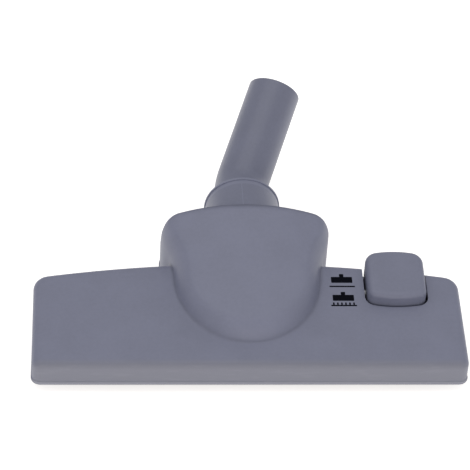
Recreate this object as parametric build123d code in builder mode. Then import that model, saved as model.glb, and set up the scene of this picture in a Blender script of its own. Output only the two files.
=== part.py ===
from build123d import *
import os
from math import cos, degrees, radians, sin, sqrt, tan

# Floor brush head of a vacuum cleaner, standing on its lowered bristles and its rear wheels.
# X runs along the head, Y from its front edge to the wand, Z up from the floor.

# Wings of the moulded head
head_width = 290.0
wing_depth = 90.5
back_bow = 13.0
front_corner_radius = 6.0
back_corner_radius = 11.0
front_height = 18.1
top_slope = 8.0
top_edge_radius = 5.0
wall = 2.5

# Sole and its rounded rim
brush_drop = 6.5
rim_height = 2.7
rim_proud = 0.6
rim_rounding = 1.0
lap_height = 4.0
lap_wall = 1.6
lap_clearance = 0.2

# Dome over the neck joint
dome_start = 18.0
dome_waist = 75.0
dome_half_front = 50.0
dome_half_back = 58.0
dome_crest_lead = 10.5
dome_tail = 11.5
dome_front_height = 29.5
dome_crest_height = 63.0
dome_cheek_height = 32.0
dome_edge_radius = 23.0
dome_corner_radius = 14.0
dome_crown = 8.5
dome_shoulder_radius = 16.0
dome_side_spare = 0.4
dome_nose_skim = 0.2

# Neck ball and collar
neck_distance = 122.5
neck_height = 29.5
ball_radius = 23.5
ball_wall = 2.5
ball_inlet_radius = 15.0
collar_radius = 26.0
collar_front = 3.0
collar_length = 25.0
collar_bore_radius = 22.3
shoulder_front = 4.0
shoulder_back = 7.0
shoulder_bore_radius = 16.5
trunnion_radius = 4.5
trunnion_reach = 34.5
trunnion_clearance = 0.05
fork_half_width = 27.5
fork_wall = 2.5
pillar_depth = 11.0
rest_pad_lag = 6.0
rest_pad_width = 20.0
rest_pad_depth = 8.0
rest_gap = 0.4
ring_length = 6.0
ring_skirt_clearance = 0.1
ring_bead_length = 2.2
ring_bead_height = 0.7
ring_rounding = 0.6

# Elbow and wand socket
tube_radius = 18.8
tube_inner_radius = 15.6
socket_radius = 16.0
socket_depth = 40.0
flange_radius = 22.0
flange_front = 9.1
flange_length = 4.0
flange_play = 0.3
washer_clearance = 0.2
swivel_clearance = 0.06
bend_reach = 49.0
bend_angle = 33.0
bend_radius = 32.0
swivel_angle = 37.0
tube_reach = 82.0
tube_lip_rounding = 0.8

# Rocker pedal, lift shaft and cranks
pedal_inset = 44.0
pedal_width = 40.0
pedal_front = 51.0
pedal_front_height = 33.8
pedal_length = 42.0
pedal_tilt = 9.0
pedal_skirt = 13.3
pedal_rear_skirt = 12.4
pedal_wall = 2.2
pedal_bow = 3.0
pedal_front_radius = 6.0
pedal_rear_radius = 9.0
pedal_top_rounding = 4.0
pedal_end_spare = 1.0
pedal_rib_offset = 13.0
pedal_rib_bite = 0.6
pedal_hub_radius = 5.5
pedal_turn = 14.0
notch_gap = 1.6
notch_sill_height = 20.0
shaft_distance = 68.0
shaft_height = 21.0
shaft_radius = 2.5
shaft_end_spare = 0.5
shaft_clearance = 0.05
crank_gap = 5.0
crank_width = 4.0
crank_hub_radius = 3.7
crank_arm = 30.0
crank_angle = 28.5
crank_pin_radius = 1.6
crank_pin_wall = 1.5
bearing_inner_x = 35.0
bearing_gap = 6.5
bearing_width = 3.0
bearing_depth = 10.0
keeper_gap = 0.15

# Brush carrier and bristles
front_brush = 16.0
rear_brush = 70.0
bar_width = 8.0
bar_height = 4.5
bar_rest_gap = 0.3
carrier_side_room = 24.0
end_bar_width = 4.0
lug_height = 7.0
lug_length = 12.0
rear_bar_start = 39.0
slot_clearance = 0.25
ear_width = 9.0
ear_thickness = 3.0
ear_lift = 4.0
front_guide_inset = 25.0
front_guide = 25.5
rear_guide_x = 60.0
rear_guide = 61.0
guide_radius = 2.5
guide_clearance = 0.3
guide_height = 14.5
tuft_pitch = 6.0
tuft_length = 4.6
tuft_width = 4.0
tuft_back = 1.0
brush_end_margin = 3.0
brush_slot_clearance = 1.0
spring_wire_radius = 0.35
spring_wire_sides = 6
spring_play = 0.45
spring_turns = 3.0
spring_end_gap = 0.1

# Suction mouth, duct and seal
channel_distance = 45.0
channel_end_gap = 9.0
channel_width = 18.0
channel_depth = 3.5
channel_wall = 2.0
intake_length = 56.0
intake_width = 16.4
duct_half_width = 30.0
duct_wall = 1.6
duct_roof_height = 17.3
duct_mouth_lean = 6.0
seal_thickness = 3.0
seal_gap = 0.3
seal_low_angle = 50.0
seal_high_angle = 6.0
duct_bend_radius = 5.0

# Lint strips, wheels, screws and the leaf spring
lint_end_gap = 14.0
lint_width = 5.0
lint_thickness = 1.6
lint_recess = 0.9
front_lint = 31.3
rear_lint = 59.0
wheel_x = 44.0
wheel_lead = 14.5
wheel_radius = 9.0
wheel_width = 8.0
wheel_dish = 1.2
wheel_hub_radius = 3.6
wheel_rounding = 1.2
wheel_rim_width = 2.4
wheel_side_gap = 0.5
wheel_well_gap = 1.2
axle_radius = 1.5
axle_clearance = 0.05
bracket_width = 2.6
bracket_cap = 3.2
bracket_length = 12.8
post_radius = 3.6
post_height = 6.8
screw_radius = 1.5
screw_reach = 15.0
screw_head_radius = 3.2
screw_head_height = 1.7
screw_head_clearance = 0.3
screw_clearance = 0.05
screw_slot_width = 0.9
screw_slot_depth = 0.8
corner_screw_inset = 11.0
front_corner_screw = 15.0
rear_corner_screw = 53.0
middle_screw_x = 46.0
middle_screw = 24.5
rear_screw_x = 60.0
rear_screw = 79.0
leaf_thickness = 0.6
leaf_width = 8.0
leaf_bend_drop = 11.0
leaf_angle = 45.0

# Heights above the floor, and places that several pieces share
sole_z = brush_drop
seam_z = sole_z + rim_height
post_top = seam_z + post_height
neck_z = sole_z + neck_height
shaft_z = sole_z + shaft_height
notch_sill_z = sole_z + notch_sill_height
crest_z = sole_z + dome_crest_height
form_height = dome_crest_height + neck_height

# Places across the head, from its width inwards
head_half = head_width / 2
pedal_x = head_half - pedal_inset
corner_screw_x = head_half - corner_screw_inset
carrier_half_width = head_half - carrier_side_room
crank_x = carrier_half_width + crank_gap
bearing_outer_x = crank_x + bearing_gap
shaft_reach = bearing_outer_x + bearing_width / 2 + shaft_end_spare
front_guide_x = carrier_half_width - front_guide_inset
channel_length = 2 * (carrier_half_width - channel_end_gap)
lint_length = channel_length - 2 * lint_end_gap

# Places along the head, from the neck outwards
dome_crest = neck_distance - dome_crest_lead
dome_end = neck_distance + dome_tail
rest_pad_distance = neck_distance + rest_pad_lag
wheel_distance = neck_distance - wheel_lead

# The origin lies under the middle of the overall depth, from the rim to the wand socket's lip
elbow_lean = (
    sin(radians(bend_angle)) * sin(radians(swivel_angle)),
    cos(radians(bend_angle)),
    sin(radians(bend_angle)) * cos(radians(swivel_angle)),
)
lip_overhang = tube_radius * sqrt(1 - elbow_lean[1] ** 2)
overall_back = neck_distance + bend_reach + tube_reach * elbow_lean[1] + lip_overhang
front_y = -(overall_back - rim_proud) / 2


def back(distance):
    """Y of a place that lies a distance behind the front face."""
    return front_y + distance


neck_point = (0, back(neck_distance), neck_z)
pedal_front_y = back(pedal_front)
pedal_front_z = sole_z + pedal_front_height
pedal_rear_y = pedal_front_y + pedal_length * cos(radians(pedal_tilt))
pedal_rear_z = pedal_front_z + pedal_length * sin(radians(pedal_tilt))
pedal_middle = Plane.YZ.offset(pedal_x)
neck_plane = Plane(origin=neck_point, x_dir=(0, 1, 0), z_dir=(1, 0, 0))
neck_axis = Axis(neck_point, (0, 1, 0))
shaft_point = (0, back(shaft_distance), shaft_z)
wing_top = Plane(
    origin=(0, front_y, sole_z + front_height),
    z_dir=(0, -sin(radians(top_slope)), cos(radians(top_slope))),
)
dome_rise = dome_crest_height - dome_front_height
dome_roof = Plane(
    origin=(0, back(dome_crest), crest_z),
    z_dir=(0, -dome_rise, dome_crest - dome_start),
)
dome_climb = Plane(
    origin=(0, back(dome_crest), crest_z),
    x_dir=(1, 0, 0),
    z_dir=(0, dome_crest - dome_start, dome_rise),
)
dome_fall = Plane(
    origin=(0, back(dome_crest), crest_z),
    x_dir=(1, 0, 0),
    z_dir=(0, dome_end - dome_crest, dome_cheek_height - dome_crest_height),
)
on_base = (Align.CENTER, Align.CENTER, Align.MIN)
across = (0, 90, 0)
screw_places = [
    (side * x, back(distance))
    for side in (-1, 1)
    for x, distance in (
        (corner_screw_x, front_corner_screw),
        (corner_screw_x, rear_corner_screw),
        (middle_screw_x, middle_screw),
        (rear_screw_x, rear_screw),
    )
]
bearing_places = [
    (side * x, back(shaft_distance))
    for side in (-1, 1)
    for x in (bearing_inner_x, bearing_outer_x)
]
front_guides = [(side * front_guide_x, back(front_guide)) for side in (-1, 1)]
rear_guides = [(side * rear_guide_x, back(rear_guide)) for side in (-1, 1)]
wheel_places = [(side * wheel_x, back(wheel_distance)) for side in (-1, 1)]
rear_bar_length = carrier_half_width - rear_bar_start
rear_bar_middle = (carrier_half_width + rear_bar_start) / 2


def wing_outline(inset):
    """Plan of the two wings: a straight front and a back edge that bows towards the neck."""
    with BuildSketch() as outline:
        half = head_half
        side_end = back(wing_depth - back_bow)
        with BuildLine():
            Polyline((-half, side_end), (-half, front_y), (half, front_y), (half, side_end))
            ThreePointArc((half, side_end), (0, back(wing_depth)), (-half, side_end))
        make_face()
        fillet(outline.vertices().group_by(Axis.Y)[-1], back_corner_radius)
        fillet(outline.vertices().group_by(Axis.Y)[0], front_corner_radius)
        if inset:
            offset(amount=-inset)
    return outline.sketch


def dome_outline(inset, square_back=False):
    """Plan of the dome: an elliptical nose whose flanks flare out to the two cheeks."""
    with BuildSketch() as outline:
        nose_half = dome_half_front - inset
        cheek_half = dome_half_back - inset
        middle = ((nose_half + cheek_half) / 2, back((dome_waist + dome_crest) / 2))
        shoulder = (cheek_half, back(dome_crest))
        rear = back(dome_end - inset)
        with BuildLine():
            EllipticalCenterArc(
                (0, back(dome_waist)),
                nose_half,
                dome_waist - dome_start - inset,
                start_angle=270,
                arc_size=90,
            )
            flare = TangentArc((nose_half, back(dome_waist)), middle, tangent=(0, 1))
            TangentArc(middle, shoulder, tangent=flare % 1)
            Polyline(shoulder, (cheek_half, rear), (0, rear))
            mirror(about=Plane.YZ)
        make_face()
        if not square_back:
            fillet(outline.vertices().group_by(Axis.Y)[-1], dome_corner_radius - inset)
    return outline.sketch


def base_outline(inset):
    """Plan of the whole head, wings and dome together."""
    with BuildSketch() as outline:
        add(wing_outline(inset))
        add(dome_outline(inset))
    return outline.sketch


def wing_form(inset, bottom):
    """Solid of the wings under their sloping top, with every face moved in by the inset."""
    with BuildPart() as form:
        with BuildSketch(Plane.XY.offset(bottom)):
            add(wing_outline(inset))
        extrude(amount=form_height)
        split(bisect_by=wing_top.offset(-inset), keep=Keep.BOTTOM)
        fillet(form.faces().sort_by(Axis.Z)[-1].edges(), top_edge_radius - inset)
    return form.part


def arch_section(inset):
    """Section of the dome's roof, its crowned top at the origin and its depth along Y."""
    full_half = dome_half_back + dome_side_spare
    half = full_half - inset
    shoulder = inset + dome_crown * (half / full_half) ** 2
    with BuildSketch() as section:
        with BuildLine():
            ThreePointArc((-half, shoulder), (0, inset), (half, shoulder))
            Polyline((half, shoulder), (half, dome_end), (-half, dome_end), (-half, shoulder))
        make_face()
        fillet(section.vertices().group_by(Axis.Y)[0], dome_shoulder_radius - inset)
    return section.sketch


def dome_form(inset, bottom):
    """Solid of the dome: a round nose, a crowned roof that climbs, and a rear that falls."""
    with BuildPart() as roof_form:
        with BuildSketch(dome_climb):
            add(arch_section(inset))
        extrude(amount=2 * form_height, both=True)
        with BuildSketch(dome_fall):
            add(arch_section(inset))
        extrude(amount=2 * form_height, both=True, mode=Mode.INTERSECT)
    with BuildPart() as form:
        with BuildSketch(Plane.XY.offset(bottom)):
            add(dome_outline(inset, square_back=True))
        extrude(amount=2 * form_height)
        split(bisect_by=dome_roof.offset(dome_nose_skim - inset), keep=Keep.BOTTOM)
        roof = form.faces().sort_by(Axis.Z)[-1]
        fillet(roof.edges().sort_by(Axis.Y)[:-1], dome_edge_radius - inset)
        add(roof_form.part, mode=Mode.INTERSECT)
        with BuildSketch(Plane.XY.offset(bottom)):
            add(dome_outline(inset))
        extrude(amount=2 * form_height, mode=Mode.INTERSECT)
    return form.part


def rim_plate(outline):
    """Sole plate of one outline, rounded along its upper and its lower edge."""
    with BuildPart() as plate:
        with BuildSketch(Plane.XY.offset(sole_z)):
            add(outline)
        extrude(amount=rim_height)
        flats = plate.faces().filter_by(Axis.Z)
        fillet(flats.edges(), rim_rounding)
    return plate.part


def pedal_outline(inset):
    """Plan of the pedal, with a bowed front and rear. A negative inset gives its notch."""
    half = pedal_width / 2 - inset
    front = back(pedal_front + inset)
    rear = pedal_rear_y - inset
    with BuildSketch() as outline:
        with BuildLine():
            ThreePointArc(
                (pedal_x - half, front + pedal_bow), (pedal_x, front), (pedal_x + half, front + pedal_bow)
            )
            Line((pedal_x + half, front + pedal_bow), (pedal_x + half, rear - pedal_bow))
            ThreePointArc(
                (pedal_x + half, rear - pedal_bow), (pedal_x, rear), (pedal_x - half, rear - pedal_bow)
            )
            Line((pedal_x - half, rear - pedal_bow), (pedal_x - half, front + pedal_bow))
        make_face()
        corners = outline.vertices().group_by(Axis.Y)
        fillet(corners[0], pedal_front_radius - inset)
        fillet(outline.vertices().group_by(Axis.Y)[-1], pedal_rear_radius - inset)
    return outline.sketch


# Hollow of the cover, with the bosses, bearing keepers and fork walls left standing in it
with BuildPart() as cover_hollow:
    add(wing_form(wall, sole_z))
    add(dome_form(wall, sole_z))
    with Locations(*[(x, y, post_top) for x, y in screw_places]):
        Cylinder(post_radius, form_height, align=on_base, mode=Mode.SUBTRACT)
    with Locations(*[(x, y, shaft_z + shaft_radius + keeper_gap) for x, y in bearing_places]):
        Box(bearing_width, bearing_depth, form_height, align=on_base, mode=Mode.SUBTRACT)
    with Locations(
        *[
            (side * (fork_half_width + fork_wall / 2), back(dome_end), sole_z)
            for side in (-1, 1)
        ]
    ):
        Box(
            fork_wall,
            dome_end - dome_crest,
            form_height,
            align=(Align.CENTER, Align.MAX, Align.MIN),
            mode=Mode.SUBTRACT,
        )

# Top cover: the moulded shell of wings and dome, with the pedal's notch and the neck's fork
with BuildPart() as top_cover:
    add(wing_form(0, seam_z))
    add(dome_form(0, seam_z))
    add(cover_hollow.part, mode=Mode.SUBTRACT)
    with BuildSketch(Plane.XY.offset(notch_sill_z)):
        add(pedal_outline(-notch_gap))
        with Locations((pedal_x, back(shaft_distance))):
            notch_width = pedal_width + 2 * notch_gap
            Rectangle(notch_width, wing_depth, align=(Align.CENTER, Align.MIN))
    extrude(amount=form_height, mode=Mode.SUBTRACT)
    with Locations((0, back(dome_crest), seam_z)):
        Box(
            2 * fork_half_width,
            dome_end,
            form_height,
            align=(Align.CENTER, Align.MIN, Align.MIN),
            mode=Mode.SUBTRACT,
        )
    with Locations(neck_point):
        Cylinder(
            trunnion_radius + trunnion_clearance,
            2 * trunnion_reach,
            rotation=across,
            mode=Mode.SUBTRACT,
        )
        Box(
            2 * trunnion_reach,
            2 * (trunnion_radius + trunnion_clearance),
            neck_z,
            align=(Align.CENTER, Align.CENTER, Align.MAX),
            mode=Mode.SUBTRACT,
        )
    with Locations(*[(x, y, post_top) for x, y in screw_places]):
        Cylinder(
            screw_radius + screw_clearance,
            screw_reach - post_height,
            align=on_base,
            mode=Mode.SUBTRACT,
        )
top_cover.part.label = "top_cover"

# Lower housing: the sole with its rim, the suction mouth, the brush slots and every post
with BuildPart() as lower_housing:
    add(rim_plate(wing_outline(-rim_proud)))
    add(rim_plate(dome_outline(-rim_proud)))
    with BuildSketch(Plane.XY.offset(seam_z)):
        add(base_outline(wall + lap_clearance))
        add(base_outline(wall + lap_clearance + lap_wall), mode=Mode.SUBTRACT)
    extrude(amount=lap_height)
    fork_outside = fork_half_width + fork_wall + lap_clearance
    with Locations((0, back(dome_crest), seam_z)):
        Box(
            2 * fork_outside,
            dome_end,
            lap_height,
            align=(Align.CENTER, Align.MIN, Align.MIN),
            mode=Mode.SUBTRACT,
        )
    with Locations((0, back(channel_distance), seam_z)):
        Box(
            channel_length + 2 * channel_wall,
            channel_width + 2 * channel_wall,
            sole_z + channel_depth + channel_wall - seam_z,
            align=on_base,
        )
    with Locations(*[(x, y, seam_z) for x, y in screw_places]):
        Cylinder(post_radius, post_height, align=on_base)
    with Locations(*[(x, y, seam_z) for x, y in front_guides + rear_guides]):
        Cylinder(guide_radius, guide_height, align=on_base)
    with Locations(*[(x, y, seam_z) for x, y in bearing_places]):
        Box(bearing_width, bearing_depth, shaft_z - seam_z, align=on_base)
    pillar_x = (fork_outside + trunnion_reach) / 2
    with Locations(*[(side * pillar_x, back(neck_distance), seam_z) for side in (-1, 1)]):
        Box(trunnion_reach - fork_outside, pillar_depth, neck_z - seam_z, align=on_base)
    with Locations((0, back(rest_pad_distance), seam_z)):
        Box(
            rest_pad_width,
            rest_pad_depth,
            neck_z - collar_radius - rest_gap - seam_z,
            align=on_base,
        )
    bracket_x = wheel_width / 2 + wheel_side_gap + bracket_width / 2
    with Locations(
        *[(x + side * bracket_x, y, seam_z) for x, y in wheel_places for side in (-1, 1)]
    ):
        Box(
            bracket_width,
            bracket_length,
            wheel_radius + bracket_cap - seam_z + axle_radius,
            align=on_base,
        )
    with Locations((0, back(channel_distance), 0)):
        Box(
            channel_length,
            channel_width,
            sole_z + channel_depth,
            align=on_base,
            mode=Mode.SUBTRACT,
        )
        Box(intake_length, intake_width, form_height, align=on_base, mode=Mode.SUBTRACT)
    slot_width = tuft_width + 2 * brush_slot_clearance
    with Locations((0, back(front_brush), 0)):
        Box(2 * carrier_half_width, slot_width, seam_z, align=on_base, mode=Mode.SUBTRACT)
    with Locations(*[(side * rear_bar_middle, back(rear_brush), 0) for side in (-1, 1)]):
        Box(rear_bar_length, slot_width, seam_z, align=on_base, mode=Mode.SUBTRACT)
    with Locations((0, back(front_lint), 0), (0, back(rear_lint), 0)):
        Box(lint_length, lint_width, sole_z + lint_recess, align=on_base, mode=Mode.SUBTRACT)
    with Locations(*[(x, y, 0) for x, y in wheel_places]):
        Box(
            wheel_width + 2 * wheel_side_gap,
            2 * (wheel_radius + wheel_well_gap),
            form_height,
            align=on_base,
            mode=Mode.SUBTRACT,
        )
    with Locations(*[(x, y, wheel_radius) for x, y in wheel_places]):
        Cylinder(
            axle_radius,
            wheel_width + 2 * (wheel_side_gap + bracket_width),
            rotation=across,
            mode=Mode.SUBTRACT,
        )
    with Locations(shaft_point):
        Cylinder(
            shaft_radius + shaft_clearance, 2 * head_width, rotation=across, mode=Mode.SUBTRACT
        )
    with Locations(neck_point):
        Cylinder(
            trunnion_radius + trunnion_clearance,
            2 * trunnion_reach,
            rotation=across,
            mode=Mode.SUBTRACT,
        )
    with Locations(*[(x, y, 0) for x, y in screw_places]):
        Cylinder(
            screw_radius + screw_clearance, form_height, align=on_base, mode=Mode.SUBTRACT
        )
        Cylinder(
            screw_head_radius + screw_head_clearance,
            sole_z + screw_head_height,
            align=on_base,
            mode=Mode.SUBTRACT,
        )
lower_housing.part.label = "lower_housing"


def seal_point(reach, angle):
    """Point ahead of the ball's centre in side view, an angle below the level."""
    turn = radians(angle)
    return (back(neck_distance) - reach * cos(turn), neck_z - reach * sin(turn))


def duct_profile(inset):
    """Side view of the duct: up from the intake, back under the shaft, then up to the ball."""
    reach = ball_radius + seal_gap + seal_thickness - inset
    spare = degrees(inset / reach)
    low = seal_low_angle - spare
    high = seal_high_angle + spare
    mouth_z = sole_z + channel_depth + channel_wall - inset
    mouth_front = back(channel_distance - channel_width / 2 - duct_wall / 2 + inset)
    mouth_rear = back(channel_distance + channel_width / 2 + duct_wall / 2 - inset)
    roof_z = sole_z + duct_roof_height - inset
    floor = [(mouth_rear, mouth_z), seal_point(reach, low)]
    if inset:
        floor.insert(1, (mouth_rear, mouth_z + 2 * inset))
    with BuildSketch() as profile:
        with BuildLine():
            Polyline((mouth_front, mouth_z), *floor)
            ThreePointArc(
                seal_point(reach, low),
                seal_point(reach, (low + high) / 2),
                seal_point(reach, high),
            )
            FilletPolyline(
                seal_point(reach, high),
                (back(shaft_distance + shaft_radius), roof_z),
                (mouth_front + duct_mouth_lean, roof_z),
                (mouth_front, mouth_z),
                radius=duct_bend_radius,
            )
        make_face()
    return profile.sketch


# Air duct: an insert that leads from the intake, under the shaft, to the neck ball
with BuildPart() as air_duct:
    with BuildSketch(Plane.YZ):
        add(duct_profile(0))
    extrude(amount=duct_half_width, both=True)
    with BuildSketch(Plane.YZ):
        add(duct_profile(duct_wall))
    extrude(amount=duct_half_width - duct_wall, both=True, mode=Mode.SUBTRACT)
air_duct.part.label = "air_duct"


def seal_sector(inner, outer, low, high):
    """Side view of a band round the ball, between two radii and two angles below the level."""
    with BuildSketch() as sector:
        with BuildLine():
            ThreePointArc(
                seal_point(outer, low), seal_point(outer, (low + high) / 2), seal_point(outer, high)
            )
            Line(seal_point(outer, high), seal_point(inner, high))
            ThreePointArc(
                seal_point(inner, high), seal_point(inner, (low + high) / 2), seal_point(inner, low)
            )
            Line(seal_point(inner, low), seal_point(outer, low))
        make_face()
    return sector.sketch


# Neck seal: a soft frame on the duct's end, hollowed to the ball
with BuildPart() as neck_seal:
    seal_outer = ball_radius + seal_gap + seal_thickness
    seal_inner = ball_radius - seal_thickness
    seal_margin = degrees(seal_thickness / seal_outer)
    with BuildSketch(Plane.YZ):
        add(seal_sector(seal_inner, seal_outer, seal_low_angle, seal_high_angle))
    extrude(amount=duct_half_width, both=True)
    with BuildSketch(Plane.YZ):
        add(
            seal_sector(
                seal_inner - seal_thickness,
                seal_outer + seal_thickness,
                seal_low_angle - seal_margin,
                seal_high_angle + seal_margin,
            )
        )
    extrude(amount=ball_inlet_radius + seal_thickness, both=True, mode=Mode.SUBTRACT)
    with Locations(neck_point):
        Sphere(ball_radius + seal_gap, mode=Mode.SUBTRACT)
neck_seal.part.label = "neck_seal"


def on_ball(radius, along):
    """Point on a sphere round the neck's centre, at a place along the collar's axis."""
    return (along, sqrt(radius**2 - along**2))


# Neck joint: a hollow ball that ends in the collar, with a trunnion on each side
with BuildPart() as neck_joint:
    hollow_radius = ball_radius - ball_wall
    inlet = -sqrt(ball_radius**2 - ball_inlet_radius**2)
    hollow_inlet = -sqrt(hollow_radius**2 - ball_inlet_radius**2)
    with BuildSketch(neck_plane):
        with BuildLine():
            ThreePointArc(
                (inlet, ball_inlet_radius),
                on_ball(ball_radius, (inlet - collar_front) / 2),
                on_ball(ball_radius, -collar_front),
            )
            Polyline(
                on_ball(ball_radius, -collar_front),
                (-collar_front, collar_radius),
                (collar_length - collar_front, collar_radius),
                (collar_length - collar_front, collar_bore_radius),
                (shoulder_back, collar_bore_radius),
                (shoulder_back, shoulder_bore_radius),
                (shoulder_front, shoulder_bore_radius),
                on_ball(hollow_radius, shoulder_front),
            )
            ThreePointArc(
                on_ball(hollow_radius, shoulder_front),
                on_ball(hollow_radius, (hollow_inlet + shoulder_front) / 2),
                (hollow_inlet, ball_inlet_radius),
            )
            Line((hollow_inlet, ball_inlet_radius), (inlet, ball_inlet_radius))
        make_face()
    revolve(axis=neck_axis)
    trunnion_root = ball_radius - ball_wall / 2
    with Locations(
        *[
            (side * (trunnion_reach + trunnion_root) / 2, neck_point[1], neck_point[2])
            for side in (-1, 1)
        ]
    ):
        Cylinder(trunnion_radius, trunnion_reach - trunnion_root, rotation=across)
neck_joint.part.label = "neck_joint"

# Collar ring: closes the collar behind the elbow's flange and guides the elbow
collar_end = collar_length - collar_front
with BuildPart() as collar_ring:
    ring_bore = tube_radius + swivel_clearance
    skirt_start = flange_front + flange_length + flange_play
    ring_end = collar_end + ring_length
    with BuildSketch(neck_plane) as ring_profile:
        with BuildLine():
            Polyline(
                (skirt_start, ring_bore),
                (skirt_start, collar_bore_radius - ring_skirt_clearance),
                (collar_end, collar_bore_radius - ring_skirt_clearance),
                (collar_end, collar_radius),
                (ring_end - ring_bead_length, collar_radius),
                (ring_end - ring_bead_length, collar_radius + ring_bead_height),
                (ring_end, collar_radius + ring_bead_height),
                (ring_end, ring_bore),
                close=True,
            )
        make_face()
        fillet(ring_profile.vertices().group_by(Axis.Y)[-1], ring_rounding)
    revolve(axis=neck_axis)
collar_ring.part.label = "collar_ring"

# Swivel washer: lies between the neck's shoulder and the elbow's flange
with BuildPart() as swivel_washer:
    with BuildSketch(neck_plane):
        with Locations((shoulder_back, shoulder_bore_radius)):
            Rectangle(
                flange_front - shoulder_back - washer_clearance,
                flange_radius - shoulder_bore_radius,
                align=(Align.MIN, Align.MIN),
            )
    revolve(axis=neck_axis)
swivel_washer.part.label = "swivel_washer"

# Elbow tube: a flanged journal, a bend and the straight socket for the wand
elbow_plane = Plane(
    origin=neck_point,
    x_dir=(0, 1, 0),
    z_dir=(cos(radians(swivel_angle)), 0, -sin(radians(swivel_angle))),
)
with BuildPart() as elbow_tube:
    tip = (
        bend_reach + tube_reach * cos(radians(bend_angle)),
        tube_reach * sin(radians(bend_angle)),
    )
    with BuildLine(elbow_plane) as elbow_route:
        FilletPolyline((flange_front, 0), (bend_reach, 0), tip, radius=bend_radius)
    route = elbow_route.wires()[0]
    journal_plane = Plane(origin=route @ 0, z_dir=route % 0)
    socket_plane = Plane(origin=route @ 1, z_dir=route % 1)
    with BuildSketch(journal_plane):
        Circle(tube_radius)
    sweep(path=route)
    fillet(elbow_tube.faces().sort_by_distance(route @ 1)[0].edges(), tube_lip_rounding)
    with BuildSketch(journal_plane):
        Circle(flange_radius)
    extrude(amount=flange_length)
    with BuildSketch(journal_plane):
        Circle(tube_inner_radius)
    sweep(path=route, mode=Mode.SUBTRACT)
    with BuildSketch(socket_plane):
        Circle(socket_radius)
    extrude(amount=-socket_depth, mode=Mode.SUBTRACT)
elbow_tube.part.label = "elbow_tube"

def pedal_profile(drop):
    """Side view of the pedal, longer than its plan, its lower edge let down by the drop."""
    front = pedal_front_y - pedal_end_spare
    rear = pedal_rear_y + pedal_end_spare
    end_rise = pedal_end_spare * tan(radians(pedal_tilt))
    with BuildSketch() as profile:
        with BuildLine():
            Polyline(
                (front, pedal_front_z - pedal_skirt - drop),
                (front, pedal_front_z - end_rise),
                (rear, pedal_rear_z + end_rise),
                (rear, pedal_rear_z - pedal_rear_skirt - drop),
                (back(shaft_distance) + pedal_hub_radius, shaft_z - drop),
                close=True,
            )
        make_face()
    return profile.sketch


def pedal_form(inset, drop):
    """Solid of the pedal: its side view and its plan together, with top and sides moved in."""
    with BuildPart() as form:
        with BuildSketch(pedal_middle):
            add(pedal_profile(drop))
            offset(amount=-inset, kind=Kind.INTERSECTION)
        extrude(amount=pedal_width, both=True)
        with BuildSketch():
            add(pedal_outline(inset))
        extrude(amount=form_height, mode=Mode.INTERSECT)
    return form.part


# Ribs that stiffen the pedal, cut from its own form a little inside its shell
with BuildPart() as pedal_ribs:
    add(pedal_form(pedal_wall - pedal_rib_bite, 0))
    with Locations(*[pedal_middle.offset(side * pedal_rib_offset) for side in (-1, 1)]):
        Box(2 * head_width, 2 * head_width, pedal_wall, mode=Mode.INTERSECT)

# Pedal: a hollow rocker on the shaft, its front pressed down and its rear standing up
with BuildPart() as pedal:
    add(pedal_form(0, 0))
    fillet(pedal.faces().sort_by(Axis.Z)[-1].edges(), pedal_top_rounding)
    add(pedal_form(pedal_wall, pedal_skirt), mode=Mode.SUBTRACT)
    add(pedal_ribs.part)
    with Locations((pedal_x, back(shaft_distance), shaft_z)):
        Cylinder(pedal_hub_radius, pedal_width - 2 * pedal_wall, rotation=across)
        Cylinder(shaft_radius, pedal_width, rotation=across, mode=Mode.SUBTRACT)
pedal.part.label = "pedal"

# Lift shaft: a steel rod across the head, keyed to the pedal and the cranks
with BuildPart() as lift_shaft:
    with Locations(shaft_point):
        Cylinder(shaft_radius, 2 * shaft_reach, rotation=across)
lift_shaft.part.label = "lift_shaft"

# Cranks: an arm at each end of the shaft, whose pin runs in the carrier's end bar
crank_pin = (
    back(shaft_distance) - crank_arm * cos(radians(crank_angle)),
    shaft_z - crank_arm * sin(radians(crank_angle)),
)


def make_crank(side):
    """One crank: hub, arm and pin, on the left (-1) or the right (1) end of the shaft."""
    with BuildPart() as crank:
        with BuildSketch(Plane.YZ.offset(side * crank_x)):
            with Locations(shaft_point[1:]):
                Circle(crank_hub_radius)
            with Locations(crank_pin):
                Circle(crank_pin_radius + crank_pin_wall)
            make_hull()
            with Locations(shaft_point[1:]):
                Circle(shaft_radius, mode=Mode.SUBTRACT)
        extrude(amount=crank_width / 2, both=True)
        with BuildSketch(Plane.YZ.offset(side * crank_x)):
            with Locations(crank_pin):
                Circle(crank_pin_radius)
        extrude(amount=-side * (crank_x - carrier_half_width + end_bar_width))
    return crank


left_crank = make_crank(-1)
left_crank.part.label = "left_crank"
right_crank = make_crank(1)
right_crank.part.label = "right_crank"

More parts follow.
